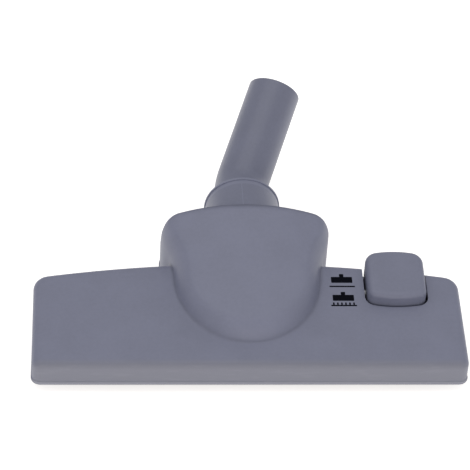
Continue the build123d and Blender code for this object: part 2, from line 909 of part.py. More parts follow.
# Brush carrier: bars over the bristles, joined by end bars, with ears on the guide posts
carrier_z = seam_z + bar_rest_gap
pin_swing = crank_arm * (
    cos(radians(crank_angle - pedal_turn)) - cos(radians(crank_angle))
)
with BuildPart() as brush_carrier:
    with Locations((0, back(front_brush), carrier_z)):
        Box(2 * carrier_half_width, bar_width, bar_height, align=on_base)
    with Locations(*[(side * rear_bar_middle, back(rear_brush), carrier_z) for side in (-1, 1)]):
        Box(rear_bar_length, bar_width, bar_height, align=on_base)
    end_bar_length = rear_brush - front_brush + bar_width
    end_bar_x = carrier_half_width - end_bar_width / 2
    with Locations(
        *[(side * end_bar_x, back((front_brush + rear_brush) / 2), carrier_z) for side in (-1, 1)]
    ):
        Box(end_bar_width, end_bar_length, bar_height, align=on_base)
    with Locations(
        *[(side * end_bar_x, crank_pin[0] - pin_swing / 2, carrier_z) for side in (-1, 1)]
    ):
        Box(end_bar_width, lug_length, lug_height, align=on_base)
    ear_z = carrier_z + ear_lift
    for ear_places, brush in ((front_guides, front_brush), (rear_guides, rear_brush)):
        for ear_x, ear_y in ear_places:
            ear_reach = abs(ear_y - back(brush)) + ear_width / 2
            ear_middle = back(brush) + (ear_reach / 2 if ear_y > back(brush) else -ear_reach / 2)
            with Locations((ear_x, ear_middle, ear_z)):
                Box(ear_width, ear_reach, ear_thickness, align=on_base)
            with Locations((ear_x, ear_y, ear_z)):
                Cylinder(
                    guide_radius + guide_clearance,
                    ear_thickness,
                    align=on_base,
                    mode=Mode.SUBTRACT,
                )
    with BuildSketch(Plane.YZ):
        with Locations((crank_pin[0] - pin_swing / 2, crank_pin[1])):
            SlotCenterToCenter(
                pin_swing + 2 * slot_clearance, 2 * (crank_pin_radius + slot_clearance)
            )
    extrude(amount=head_width / 2, both=True, mode=Mode.SUBTRACT)
brush_carrier.part.label = "brush_carrier"


def make_bristles(middle, distance, length):
    """One brush strip: a backing and a row of tufts that reach the floor."""
    with BuildPart() as strip:
        with Locations((middle, back(distance), carrier_z - tuft_back)):
            Box(length, tuft_width, tuft_back, align=on_base)
        tuft_count = int(length // tuft_pitch)
        with Locations((middle, back(distance), 0)):
            with GridLocations(tuft_pitch, tuft_pitch, tuft_count, 1):
                Box(tuft_length, tuft_width, carrier_z - tuft_back, align=on_base)
    return strip


front_bristles = make_bristles(0, front_brush, 2 * (carrier_half_width - brush_end_margin))
front_bristles.part.label = "front_bristles"
rear_strip = rear_bar_length - 2 * brush_end_margin
rear_left_bristles = make_bristles(-rear_bar_middle, rear_brush, rear_strip)
rear_left_bristles.part.label = "rear_left_bristles"
rear_right_bristles = make_bristles(rear_bar_middle, rear_brush, rear_strip)
rear_right_bristles.part.label = "rear_right_bristles"


def make_spring(place):
    """One coil spring round a guide post, squeezed under the carrier's ear."""
    radius = guide_radius + spring_play + spring_wire_radius
    low = seam_z + spring_wire_radius
    height = ear_z - spring_end_gap - spring_wire_radius - low
    with BuildPart() as spring:
        with BuildLine():
            coil = Helix(height / spring_turns, height, radius, center=(*place, low))
        with BuildSketch(Plane(origin=coil @ 0, z_dir=coil % 0)):
            RegularPolygon(spring_wire_radius, spring_wire_sides)
        sweep(path=coil, is_frenet=True)
    return spring


left_lift_spring = make_spring(front_guides[0])
left_lift_spring.part.label = "left_lift_spring"
right_lift_spring = make_spring(front_guides[1])
right_lift_spring.part.label = "right_lift_spring"

# Detent spring: a bent leaf on the sole whose nose bears on the pedal's hub
with BuildPart() as detent_spring:
    nose_reach = pedal_hub_radius + leaf_thickness
    nose = (
        back(shaft_distance) - nose_reach * sin(radians(leaf_angle)),
        shaft_z - nose_reach * cos(radians(leaf_angle)),
    )
    foot_z = seam_z + leaf_thickness / 2
    foot_y = nose[0] - leaf_width / 2
    with BuildSketch(Plane.YZ.offset(pedal_x)):
        with BuildLine():
            Polyline(
                (foot_y + leaf_width / 2, foot_z),
                (foot_y, foot_z),
                (foot_y, shaft_z - leaf_bend_drop),
                nose,
            )
        trace(line_width=leaf_thickness)
    extrude(amount=leaf_width / 2, both=True)
detent_spring.part.label = "detent_spring"


def make_lint_strip(distance):
    """One velour strip in its recess under the sole."""
    with BuildPart() as strip:
        with Locations((0, back(distance), sole_z + lint_recess - lint_thickness)):
            Box(lint_length, lint_width, lint_thickness, align=on_base)
    return strip


front_lint_strip = make_lint_strip(front_lint)
front_lint_strip.part.label = "front_lint_strip"
rear_lint_strip = make_lint_strip(rear_lint)
rear_lint_strip.part.label = "rear_lint_strip"


def make_wheel(place):
    """One roller with dished sides, on its pin."""
    with BuildPart() as wheel:
        with BuildSketch(Plane.YZ.offset(place[0])):
            with Locations((place[1], wheel_radius)):
                Circle(wheel_radius)
        extrude(amount=wheel_width / 2, both=True)
        fillet(wheel.edges(), wheel_rounding)
        sides = [Plane.YZ.offset(place[0] + side * wheel_width / 2) for side in (-1, 1)]
        with BuildSketch(*sides):
            with Locations((place[1], wheel_radius)):
                Circle(wheel_radius - wheel_rim_width)
                Circle(wheel_hub_radius, mode=Mode.SUBTRACT)
        extrude(amount=wheel_dish, both=True, mode=Mode.SUBTRACT)
        with Locations((place[0], place[1], wheel_radius)):
            Cylinder(axle_radius + axle_clearance, wheel_width, rotation=across, mode=Mode.SUBTRACT)
    return wheel


left_wheel = make_wheel(wheel_places[0])
left_wheel.part.label = "left_wheel"
right_wheel = make_wheel(wheel_places[1])
right_wheel.part.label = "right_wheel"


def make_axle(place):
    """One steel pin through a wheel and its two brackets."""
    with BuildPart() as axle:
        with Locations((place[0], place[1], wheel_radius)):
            Cylinder(
                axle_radius,
                wheel_width + 2 * (wheel_side_gap + bracket_width),
                rotation=across,
            )
    return axle


left_axle = make_axle(wheel_places[0])
left_axle.part.label = "left_axle"
right_axle = make_axle(wheel_places[1])
right_axle.part.label = "right_axle"

# Housing screws: slotted heads sunk in the sole, shanks through the posts into the cover
with BuildPart() as housing_screws:
    head_z = sole_z + screw_head_height
    with Locations(*[(x, y, head_z) for x, y in screw_places]):
        Cylinder(screw_radius, screw_reach, align=on_base)
        Cylinder(screw_head_radius, screw_head_height, align=(Align.CENTER, Align.CENTER, Align.MAX))
    with Locations(*[(x, y, sole_z) for x, y in screw_places]):
        Box(
            2 * screw_head_radius,
            screw_slot_width,
            screw_slot_depth,
            align=on_base,
            mode=Mode.SUBTRACT,
        )
housing_screws.part.label = "housing_screws"

os.makedirs("parts", exist_ok=True)
pieces = (
    top_cover,
    lower_housing,
    air_duct,
    neck_seal,
    front_lint_strip,
    rear_lint_strip,
    housing_screws,
    left_axle,
    right_axle,
    detent_spring,
    left_lift_spring,
    right_lift_spring,
    neck_joint,
    collar_ring,
    swivel_washer,
    elbow_tube,
    pedal,
    lift_shaft,
    left_crank,
    right_crank,
    brush_carrier,
    front_bristles,
    rear_left_bristles,
    rear_right_bristles,
    left_wheel,
    right_wheel,
)
for piece in pieces:
    export_step(piece.part, f"parts/{piece.part.label}.step")
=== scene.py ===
# %% [markdown]
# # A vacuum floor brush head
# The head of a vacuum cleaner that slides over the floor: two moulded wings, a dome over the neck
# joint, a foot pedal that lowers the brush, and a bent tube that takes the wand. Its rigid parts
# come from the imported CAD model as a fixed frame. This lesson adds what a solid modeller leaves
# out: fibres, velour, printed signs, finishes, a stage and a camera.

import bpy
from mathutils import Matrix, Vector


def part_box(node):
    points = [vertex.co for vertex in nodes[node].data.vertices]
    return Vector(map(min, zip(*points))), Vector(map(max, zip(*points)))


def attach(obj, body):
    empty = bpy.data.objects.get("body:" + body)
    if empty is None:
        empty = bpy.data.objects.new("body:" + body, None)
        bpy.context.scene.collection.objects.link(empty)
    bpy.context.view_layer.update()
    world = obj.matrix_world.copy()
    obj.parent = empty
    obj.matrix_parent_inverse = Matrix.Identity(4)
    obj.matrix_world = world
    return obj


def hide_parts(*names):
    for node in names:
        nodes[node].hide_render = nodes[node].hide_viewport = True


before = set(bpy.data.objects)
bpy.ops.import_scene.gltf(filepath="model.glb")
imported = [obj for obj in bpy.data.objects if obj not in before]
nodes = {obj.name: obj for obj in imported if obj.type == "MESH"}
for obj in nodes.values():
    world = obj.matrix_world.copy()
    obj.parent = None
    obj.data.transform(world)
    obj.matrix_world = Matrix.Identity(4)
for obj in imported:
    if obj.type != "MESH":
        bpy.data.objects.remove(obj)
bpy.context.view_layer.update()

# %% [markdown]
# Blender works in metres here, and a maker of small mouldings thinks in millimetres, so one name
# for a millimetre keeps every size readable. The head's own front edge and its sole are read from
# the frame, so the added pieces follow the model if its sizes change.

# %% Sizes that the whole lesson uses
from math import cos, radians, sin

import bmesh
import bpy
from mathutils import Matrix, Vector

MM = 0.001
front_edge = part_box("top_cover")[0][1]
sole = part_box("lower_housing")[0][2]
print("front edge at Y", round(front_edge / MM, 2), "mm, sole at Z", round(sole / MM, 2), "mm")

# %% [markdown]
# Node trees can be wired by hand in the editor, but a long tree is easier to read as arithmetic.
# A small class wraps one output socket, and its operators add Math nodes, so `1 - mask` is a
# drawing of two wires and a node. A second class wraps the tree: its one method adds a node of
# any kind, sets its options first, and then fills or links its sockets. Shaders and geometry
# share both classes.

# %% Wires and graphs
class Wire:
    """One output of a node. Arithmetic on wires adds Math nodes to their graph."""

    def __init__(self, graph, socket):
        self.graph = graph
        self.socket = socket

    def maths(self, operation, first, second):
        settings = {"operation": operation}
        return self.graph.node("ShaderNodeMath", settings, {0: first, 1: second})

    def __add__(self, other):
        return self.maths("ADD", self, other)

    def __sub__(self, other):
        return self.maths("SUBTRACT", self, other)

    def __mul__(self, other):
        return self.maths("MULTIPLY", self, other)

    def __gt__(self, other):
        return self.maths("GREATER_THAN", self, other)

    def __lt__(self, other):
        return self.maths("LESS_THAN", self, other)

    def __rsub__(self, other):
        return self.maths("SUBTRACT", other, self)

    __radd__ = __add__
    __rmul__ = __mul__


class Graph:
    """A node tree, with one method that adds any node to it."""

    def __init__(self, tree):
        self.tree = tree

    def feed(self, socket, value):
        """Links a wire to a socket, or sets the socket's own value."""
        if isinstance(value, Wire):
            self.tree.links.new(value.socket, socket)
        else:
            socket.default_value = value

    def node(self, kind, settings, inputs, output=0):
        """Adds a node: its settings first, then the values or links of its sockets."""
        made = self.tree.nodes.new(kind)
        for name, value in settings.items():
            setattr(made, name, value)
        for key, value in inputs.items():
            self.feed(made.inputs[key], value)
        return Wire(self, made.outputs[output])


print("ready to wire shaders and geometry")

# %% [markdown]
# A finish is a material under construction. What is the same all over the surface is set straight
# on the shader's socket, and what changes from place to place comes through wires. Every pattern
# reads Object coordinates, which are metres in the head's own frame, so a grain of half a
# millimetre is half a millimetre on every part and nothing slides when a joint moves.

# %% A finish under construction
class Finish(Graph):
    """A material: constants on the shader's sockets, patterns through wires."""

    def __init__(self, name, constants):
        self.material = bpy.data.materials.new(name)
        self.material.use_nodes = True
        super().__init__(self.material.node_tree)
        self.shader = self.tree.nodes["Principled BSDF"]
        self.place = self.node("ShaderNodeTexCoord", {}, {}, "Object")
        for socket, value in constants.items():
            self.set(socket, value)

    def set(self, socket, value):
        """Sets or links one socket of the shader."""
        self.feed(self.shader.inputs[socket], value)

    def along(self, axis):
        """The X, Y or Z coordinate."""
        return self.node("ShaderNodeSeparateXYZ", {}, {0: self.place}, axis)

    def stretched(self, scale):
        """Coordinates that make a pattern longer one way than another."""
        return self.node("ShaderNodeMapping", {}, {"Vector": self.place, "Scale": scale})

    def noise(self, size, detail, place=None):
        """Soft random cloud with blotches of a size in metres."""
        inputs = {"Vector": place or self.place, "Scale": 1 / size, "Detail": detail}
        return self.node("ShaderNodeTexNoise", {}, inputs)

    def ease(self, value, low, high):
        """Rises smoothly from 0 at the low value to 1 at the high one."""
        inputs = {"Value": value, "From Min": low, "From Max": high}
        return self.node("ShaderNodeMapRange", {"interpolation_type": "SMOOTHSTEP"}, inputs)

    def tint(self, mask, first, second):
        """The first colour where the mask is 0, the second where it is 1."""
        inputs = {0: mask, 6: first, 7: second}
        return self.node("ShaderNodeMix", {"data_type": "RGBA"}, inputs, 2)

    def relief(self, height, depth, strength):
        """Presses a height pattern into the surface, to a depth in metres."""
        inputs = {"Height": height, "Distance": depth, "Strength": strength}
        self.bump = self.node("ShaderNodeBump", {}, inputs)
        self.set("Normal", self.bump)

    def change_relief(self, socket, value):
        """Feeds one input of the relief anew."""
        self.feed(self.bump.socket.node.inputs[socket], value)


def paint(red, green, blue):
    """A linear colour from 0 to 255 values on the sRGB curve, as a screen shows them."""
    shades = [channel / 255 for channel in (red, green, blue)]
    linear = [s / 12.92 if s <= 0.04045 else ((s + 0.055) / 1.055) ** 2.4 for s in shades]
    return (*linear, 1.0)


def shade(colour, factor):
    """The same colour, lighter or darker by a factor."""
    return (*[channel * factor for channel in colour[:3]], 1.0)


print("ready to mix finishes")

# %% [markdown]
# The shell, the sole, the pedal and the tube are injection mouldings in one blue-grey. Such a part
# is never one flat colour: the mould's fine spark-eroded skin makes it matt, the pigment flows in
# faint clouds, and the sheen drifts with the skin's depth. A single noise would do, but three
# scales read as a real moulding both close by and from a step away.

# %% Moulded plastic
cloud_size = 28 * MM
fleck_size = 2.2 * MM
grain_size = 0.55 * MM
grain_depth = 0.035 * MM
skin_strength = 0.6
cloud_share, fleck_share = 0.65, 0.35
pigment_contrast = 0.05
cloud_sheen, grain_sheen = 0.14, 0.1
fleck_relief = 0.6
noise_low, noise_middle, noise_high = 0.3, 0.5, 0.7
plastic_ior = 1.5


def moulded(name, colour, roughness):
    """Blue-grey moulded plastic with pigment clouds, faint flecks and a fine matt skin."""
    finish = Finish(name, {"IOR": plastic_ior, "Specular IOR Level": 0.5})
    cloud = finish.noise(cloud_size, detail=3.0)
    fleck = finish.noise(fleck_size, detail=2.0)
    grain = finish.noise(grain_size, detail=3.0)
    blend = cloud_share * cloud + fleck_share * fleck
    dark = shade(colour, 1 - pigment_contrast)
    light = shade(colour, 1 + pigment_contrast)
    finish.colour = finish.tint(finish.ease(blend, noise_low, noise_high), dark, light)
    finish.set("Base Color", finish.colour)
    drift = cloud_sheen * (cloud - noise_middle)
    finish.gloss = roughness + drift + grain_sheen * (grain - noise_middle)
    finish.set("Roughness", finish.gloss)
    finish.skin = grain + fleck_relief * fleck
    finish.relief(finish.skin, grain_depth, skin_strength)
    return finish


blue_grey = paint(118, 121, 141)
pedal_finish = moulded("pedal_plastic", shade(blue_grey, 0.96), roughness=0.46)
print("made", pedal_finish.material.name)

# %% [markdown]
# The front edge is what meets skirting boards and chair legs, so on a used head it is rubbed paler
# in short streaks, a little rougher than the rest. Under the streaks the front face and a band
# behind it are painted greyer and less blue, a painted tone of the warmly lit face. The streaks
# run
# along the edge: a noise stretched sideways, kept to a few millimetres behind the front face. The
# sole's rim stands a little proud under the cover, and its upper edge gets a painted highlight,
# palest of all.

# %% Rubbed front edge with painted tone, and the sole rim's painted highlight
rub_reach = 6 * MM
rim_low, rim_high = 7.4 * MM, 8.4 * MM
rim_highlight_paleness = 1.5
streak_size = 14 * MM
streak_shape = (1.0, 6.0, 6.0)
streak_low, streak_high = 0.5, 0.72
scuff_and_painted_front_grey = paint(117, 118, 129)
painted_front_tone_share = 0.8
rub_paleness = 1.3
rub_roughness = 0.12


def rub_and_paint_lit_front(finish, strength):
    """Pale wear streaks where the front edge bumps into furniture, on a painted greyer tone of the
    lit front face.
    """
    near_edge = 1 - finish.ease(finish.along("Y"), front_edge, front_edge + rub_reach)
    streak = finish.noise(streak_size, detail=4.0, place=finish.stretched(streak_shape))
    rub = near_edge * finish.ease(streak, streak_low, streak_high) * strength
    # The front face and a band behind it are painted greyer: painted light, the tone of the warmly
    # lit face.
    painted_front_tone = finish.tint(near_edge * painted_front_tone_share, finish.colour, scuff_and_painted_front_grey)
    finish.colour = finish.tint(rub, painted_front_tone, shade(scuff_and_painted_front_grey, rub_paleness))
    finish.set("Base Color", finish.colour)
    finish.set("Roughness", finish.gloss + rub_roughness * rub)
    return near_edge


cover_finish = moulded("cover_plastic", blue_grey, roughness=0.48)
rub_and_paint_lit_front(cover_finish, strength=0.25)
sole_finish = moulded("base_plastic", shade(blue_grey, 0.82), roughness=0.55)
near_front = rub_and_paint_lit_front(sole_finish, strength=0.5)
# A painted highlight along the upper edge of the sole's rim, at the front.
rim = near_front * sole_finish.ease(sole_finish.along("Z"), rim_low, rim_high)
rim_highlight_colour = sole_finish.tint(rim, sole_finish.colour, shade(scuff_and_painted_front_grey, rim_highlight_paleness))
sole_finish.set("Base Color", rim_highlight_colour)
print("made", cover_finish.material.name, "and", sole_finish.material.name)

# %% [markdown]
# The dome flows out of the wings in one soft form, but its mesh has a shallow crease where the
# nose meets the roof. A Bevel node averages the surface's direction over a few millimetres, which
# eases the crease in the light. It is kept to the dome, so the pedal's notch and the front edge
# stay crisp.

# %% Eased crease on the dome
crease_ease = 6 * MM
crease_samples = 8
dome_reach = 55 * MM
dome_fade = 70 * MM
crease_start = front_edge + 12 * MM
crease_full = front_edge + 20 * MM
beside = cover_finish.along("X")
off_dome = cover_finish.ease(beside * beside, dome_reach**2, dome_fade**2)
behind = cover_finish.ease(cover_finish.along("Y"), crease_start, crease_full)
radius = crease_ease * behind * (1 - off_dome)
bevel_settings = {"samples": crease_samples}
bevel = cover_finish.node("ShaderNodeBevel", bevel_settings, {"Radius": radius})
cover_finish.change_relief("Normal", bevel)
print("eased the dome's crease over", round(crease_ease / MM, 1), "mm")

# %% [markdown]
# The neck and the tube are turned in hand each time the wand is fitted, so they are a little
# smoother, and they are coloured a shade darker than the shell. The ring at the collar's rim is a
# separate moulding, painted paler as a highlight on its bead. The neck's mould opened along its
# top,
# and left a hairline there: a narrow raised seam at one place across the part, kept to the upper
# side, and painted a touch paler as a highlight along it.

# %% Neck and tube plastic
seam_place = -1.5 * MM
seam_half_width = 0.22 * MM
seam_relief = 2.0
seam_highlight_paleness = 1.08
neck_low, neck_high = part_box("neck_joint")
neck_middle = (neck_low[2] + neck_high[2]) / 2
tube_finish = moulded("tube_plastic", shade(blue_grey, 0.86), roughness=0.4)
neck_finish = moulded("neck_plastic", shade(blue_grey, 0.9), roughness=0.42)
across = neck_finish.along("X")
seam = (across > seam_place - seam_half_width) * (across < seam_place + seam_half_width)
seam = seam * (neck_finish.along("Z") > neck_middle)
neck_finish.change_relief("Height", neck_finish.skin + seam_relief * seam)
# The seam is painted a touch paler: a painted highlight along it.
neck_colour_with_seam_highlight = neck_finish.tint(seam, neck_finish.colour, shade(blue_grey, seam_highlight_paleness))
neck_finish.set("Base Color", neck_colour_with_seam_highlight)
# The collar ring is painted paler than the neck: a painted highlight on its bead.
highlit_ring_finish = moulded("ring_plastic", shade(blue_grey, 1.03), roughness=0.42)
print("made", *[made.material.name for made in (tube_finish, neck_finish, highlit_ring_finish)])

# %% [markdown]
# Inside, the carrier, the cranks, the duct and the washer are plain black-grey mouldings, with
# flow lines from the gate and a light film of dust in specks.

# %% Inner plastic
flow_size = 9 * MM
flow_shape = (1.0, 3.0, 3.0)
speck_size = 0.8 * MM
inner_grey = paint(58, 60, 66)
dust_grey = paint(120, 116, 108)
dust_low, dust_high = 0.3, 0.45
dust_cover = 0.3
inner_roughness, flow_roughness = 0.5, 0.2
inner_finish = Finish("inner_plastic", {"IOR": plastic_ior, "Specular IOR Level": 0.4})
flow = inner_finish.noise(flow_size, detail=4.0, place=inner_finish.stretched(flow_shape))
speck = inner_finish.noise(speck_size, detail=3.0)
streaks = inner_finish.ease(flow, noise_low, noise_high)
inner_tone = inner_finish.tint(streaks, shade(inner_grey, 0.8), inner_grey)
dust = inner_finish.ease(speck * flow, dust_low, dust_high) * dust_cover
inner_colour = inner_finish.tint(dust, inner_tone, dust_grey)
inner_finish.set("Base Color", inner_colour)
inner_finish.set("Roughness", inner_roughness + flow_roughness * flow)
inner_finish.relief(speck, grain_depth, strength=0.5)
print("made", inner_finish.material.name)

# %% [markdown]
# The rod, the wheel pins, the springs and the screws are drawn or turned steel. Drawing leaves
# fine lines along the wire and cutting leaves them round a head; a noise pulled out along X stands
# for both at this size, and a second one dulls the steel in patches, as fingers and damp do.

# %% Steel
drawn_size = 1.2 * MM
drawn_shape = (0.12, 1.0, 1.0)
drawn_depth = 0.012 * MM
dull_size = 6 * MM
patch_low, patch_high = 0.45, 0.75
bright_steel = paint(186, 188, 192)
dull_steel = paint(140, 136, 130)
steel_roughness, drawn_roughness, dull_roughness = 0.24, 0.18, 0.2
steel_finish = Finish("steel", {"Metallic": 1.0})
drawn = steel_finish.noise(drawn_size, detail=3.0, place=steel_finish.stretched(drawn_shape))
dull = steel_finish.ease(steel_finish.noise(dull_size, detail=4.0), patch_low, patch_high)
steel_colour = steel_finish.tint(dull, bright_steel, dull_steel)
steel_finish.set("Base Color", steel_colour)
lined = steel_roughness + drawn_roughness * drawn
steel_finish.set("Roughness", lined + dull_roughness * dull)
steel_finish.relief(drawn, drawn_depth, strength=0.5)
print("made", steel_finish.material.name)

# %% [markdown]
# The rollers run on the floor, so their soft black rims pick up dust in a fine ribbed tread. The
# ribs are grooves round the rim, a wave across its width. The neck's seal is the same kind of
# rubber without a tread, with a faint bloom that makes it uneven in tone and gloss.

# %% Rubber
tread_pitch = 1.6 * MM
tread_depth = 0.12 * MM
wave_length = 0.314  # metres from crest to crest of a wave texture at scale 1
dirt_size = 2.5 * MM
dirt_relief = 0.3
bloom_size = 4 * MM
rubber_ior = 1.52
black_rubber = paint(44, 45, 49)
floor_dirt = paint(98, 94, 88)
tread_roughness, dirt_roughness = 0.68, 0.2
seal_roughness, bloom_roughness = 0.5, 0.25
wheel_finish = Finish("wheel_rubber", {"IOR": rubber_ior, "Specular IOR Level": 0.3})
wave_scale = wave_length / tread_pitch
wave_inputs = {"Vector": wheel_finish.place, "Scale": wave_scale, "Distortion": 0.0}
ribs = wheel_finish.node("ShaderNodeTexWave", {"bands_direction": "X"}, wave_inputs, "Fac")
dirt = wheel_finish.noise(dirt_size, detail=4.0)
packed = wheel_finish.ease(dirt, patch_low, patch_high) * (1 - ribs)
wheel_finish.set("Base Color", wheel_finish.tint(packed, black_rubber, floor_dirt))
wheel_finish.set("Roughness", tread_roughness + dirt_roughness * packed)
wheel_finish.relief(ribs + dirt_relief * dirt, tread_depth, strength=0.7)

seal_finish = Finish("seal_rubber", {"IOR": rubber_ior, "Specular IOR Level": 0.35})
bloom = seal_finish.noise(bloom_size, detail=4.0)
seal_finish.set("Base Color", seal_finish.tint(bloom, shade(black_rubber, 0.6), black_rubber))
seal_finish.set("Roughness", seal_roughness + bloom_roughness * bloom)
seal_finish.relief(seal_finish.noise(grain_size, detail=2.0), grain_depth, strength=0.4)
print("made", wheel_finish.material.name, "and", seal_finish.material.name)

# %% [markdown]
# Each rigid part keeps its CAD mesh and only changes its material slots. The list below reads as
# the parts list does: which moulding, which steel, which rubber.

# %% Finish on every rigid part
finish_of = {
    cover_finish: ["top_cover"],
    sole_finish: ["lower_housing"],
    pedal_finish: ["pedal"],
    tube_finish: ["elbow_tube"],
    neck_finish: ["neck_joint"],
    highlit_ring_finish: ["collar_ring"],
    inner_finish: ["air_duct", "swivel_washer", "brush_carrier", "left_crank", "right_crank"],
    steel_finish: [
        "lift_shaft",
        "left_axle",
        "right_axle",
        "left_lift_spring",
        "right_lift_spring",
        "detent_spring",
        "housing_screws",
    ],
    wheel_finish: ["left_wheel", "right_wheel"],
    seal_finish: ["neck_seal"],
}
for finish, names in finish_of.items():
    for name in names:
        for slot in nodes[name].material_slots:
            slot.material = finish.material
print("finished", sum(len(names) for names in finish_of.values()), "rigid parts")

# %% [markdown]
# The rest is made with Geometry Nodes, because it repeats. A growth is a node group with named
# inputs for its sizes. It runs once on a start mesh, the result becomes a plain mesh, and the
# modifier goes, so the finished piece is ordinary geometry that any program can read.

# %% A growth: geometry from a start mesh and named sizes
class Growth(Graph):
    """A geometry node group: named sizes in, realised geometry with one material out."""

    def __init__(self, name):
        super().__init__(bpy.data.node_groups.new(name, "GeometryNodeTree"))
        for direction in ("INPUT", "OUTPUT"):
            self.tree.interface.new_socket(
                "Geometry", in_out=direction, socket_type="NodeSocketGeometry"
            )
        self.entry = self.tree.nodes.new("NodeGroupInput")
        self.exit = self.tree.nodes.new("NodeGroupOutput")
        self.start = Wire(self, self.entry.outputs["Geometry"])
        self.sizes = {}

    def size(self, name, value, kind="NodeSocketFloat"):
        """A named input with the value that this piece uses."""
        socket = self.tree.interface.new_socket(name, in_out="INPUT", socket_type=kind)
        self.sizes[socket.identifier] = value
        return Wire(self, self.entry.outputs[name])

    def end(self, geometry, finish):
        """Realises the instances, sets the material and closes the tree."""
        plain = self.node("GeometryNodeRealizeInstances", {}, {"Geometry": geometry})
        inputs = {"Geometry": plain, "Material": finish.material}
        self.feed(self.exit.inputs[0], self.node("GeometryNodeSetMaterial", {}, inputs))

    def grow(self, name, start_mesh):
        """Runs the tree on a start mesh and returns the result as a plain mesh object."""
        piece = bpy.data.objects.new(name, start_mesh)
        bpy.context.scene.collection.objects.link(piece)
        modifier = piece.modifiers.new("growth", "NODES")
        modifier.node_group = self.tree
        for identifier, value in self.sizes.items():
            modifier[identifier] = value
        evaluated = piece.evaluated_get(bpy.context.evaluated_depsgraph_get())
        grown = bpy.data.meshes.new_from_object(evaluated)
        piece.modifiers.remove(modifier)
        piece.data = grown
        return piece


print("ready to grow repeated pieces")

# %% [markdown]
# A floor brush is a strip of tufts: bundles of stiff fibres punched into a backing, pinched at the
# root and spread at the tip. Hair particles would give fibres too, but they don't export. Here a
# line runs down the middle of each strip, points on it are the tufts, and each point is doubled
# into many fibres whose place in the tuft also sets their lean. The fibres end unevenly, within a
# fraction of a millimetre of the floor.

# %% How a brush strip grows
fibre_seed = 11
lean_seed = 23
length_seed = 37
fibre_sides = 5


def scatter(growth, low, high, seed):
    """A random vector for each point, between two corners."""
    settings = {"data_type": "FLOAT_VECTOR"}
    return growth.node("FunctionNodeRandomValue", settings, {0: low, 1: high, "Seed": seed})


def scaled(growth, vector, factor):
    """A vector made longer or shorter by a factor."""
    settings = {"operation": "SCALE"}
    return growth.node("ShaderNodeVectorMath", settings, {0: vector, "Scale": factor})


def fibre(growth, length, root, tip):
    """One tapered fibre that hangs down from its root at the origin."""
    radii = {"Radius Top": root, "Radius Bottom": tip}
    sizes = {"Vertices": fibre_sides, **radii, "Depth": length}
    cone = growth.node("GeometryNodeMeshCone", {"fill_type": "NGON"}, sizes)
    drop = growth.node("ShaderNodeCombineXYZ", {}, {"Z": -1 * length})
    hang = {"Geometry": cone, "Translation": drop}
    return growth.node("GeometryNodeTransform", {}, hang)


brush = Growth("brush_strip")
pitch = brush.size("Tuft pitch", 3.9 * MM)
count = brush.size("Fibres in a tuft", 26, "NodeSocketInt")
tuft_radius = brush.size("Tuft radius", 1.15 * MM)
fibre_length = brush.size("Fibre length", 8.5 * MM)
root_radius = brush.size("Root radius", 0.13 * MM)
tip_radius = brush.size("Tip radius", 0.06 * MM)
spread = brush.size("Spread", 55.0)
back_width = brush.size("Backing width", 3.9 * MM)
back_height = brush.size("Backing height", 0.95 * MM)
print("brush strip takes", len(brush.sizes), "sizes")

# %% [markdown]
# The tree itself: lines to curves, curves to evenly spaced points, points to fibres. A fibre's
# place in its tuft, turned a quarter, is the axis that it leans about, so the tuft spreads
# outwards. Chance adds a small stray lean, a turn about its own line and a slightly shorter
# length. The backing is the same line given a flat profile, with its normals kept level.

# %% The brush strip's tree
stray_low, stray_high = (-0.05, -0.05, 0.0), (0.05, 0.05, 3.0)
shortest, longest = (1.0, 1.0, 0.93), (1.0, 1.0, 0.999)
line = brush.node("GeometryNodeMeshToCurve", {}, {"Mesh": brush.start})
points = brush.node(
    "GeometryNodeCurveToPoints", {"mode": "LENGTH"}, {"Curve": line, "Length": pitch}
)
fibres = brush.node(
    "GeometryNodeDuplicateElements", {"domain": "POINT"}, {"Geometry": points, "Amount": count}
)
offset = scatter(brush, (-1.0, -1.0, 0.0), (1.0, 1.0, 0.0), fibre_seed)
inside = scaled(brush, offset, tuft_radius)
placed = brush.node("GeometryNodeSetPosition", {}, {"Geometry": fibres, "Offset": inside})
quarter = {0: inside, "Angle": radians(90)}
turned = brush.node("ShaderNodeVectorRotate", {"rotation_type": "Z_AXIS"}, quarter)
leaning = scaled(brush, turned, spread)
stray = scatter(brush, stray_low, stray_high, lean_seed)
lean = brush.node("ShaderNodeVectorMath", {"operation": "ADD"}, {0: leaning, 1: stray})
uneven = scatter(brush, shortest, longest, length_seed)
one_fibre = fibre(brush, fibre_length, root_radius, tip_radius)
bundle = brush.node(
    "GeometryNodeInstanceOnPoints",
    {},
    {"Points": placed, "Instance": one_fibre, "Rotation": lean, "Scale": uneven},
)
level = brush.node("GeometryNodeSetCurveNormal", {"mode": "Z_UP"}, {"Curve": line})
profile = brush.node(
    "GeometryNodeCurvePrimitiveQuadrilateral", {}, {"Width": back_width, "Height": back_height}
)
backing = brush.node(
    "GeometryNodeCurveToMesh", {}, {"Curve": level, "Profile Curve": profile, "Fill Caps": True}
)
high_back = brush.node("ShaderNodeCombineXYZ", {}, {"Z": 0.5 * back_height})
seated = brush.node("GeometryNodeSetPosition", {}, {"Geometry": backing, "Offset": high_back})
strip = brush.node("GeometryNodeJoinGeometry", {}, {"Geometry": bundle})
brush.tree.links.new(seated.socket, strip.socket.node.inputs["Geometry"])
print("brush strip tree has", len(brush.tree.nodes), "nodes")

# %% [markdown]
# Nylon fibre is dark and slightly glossy, and goes dusty and pale at the tips, which are what
# sweeps the floor. Height above the floor sets the dust, and a fine noise varies it.

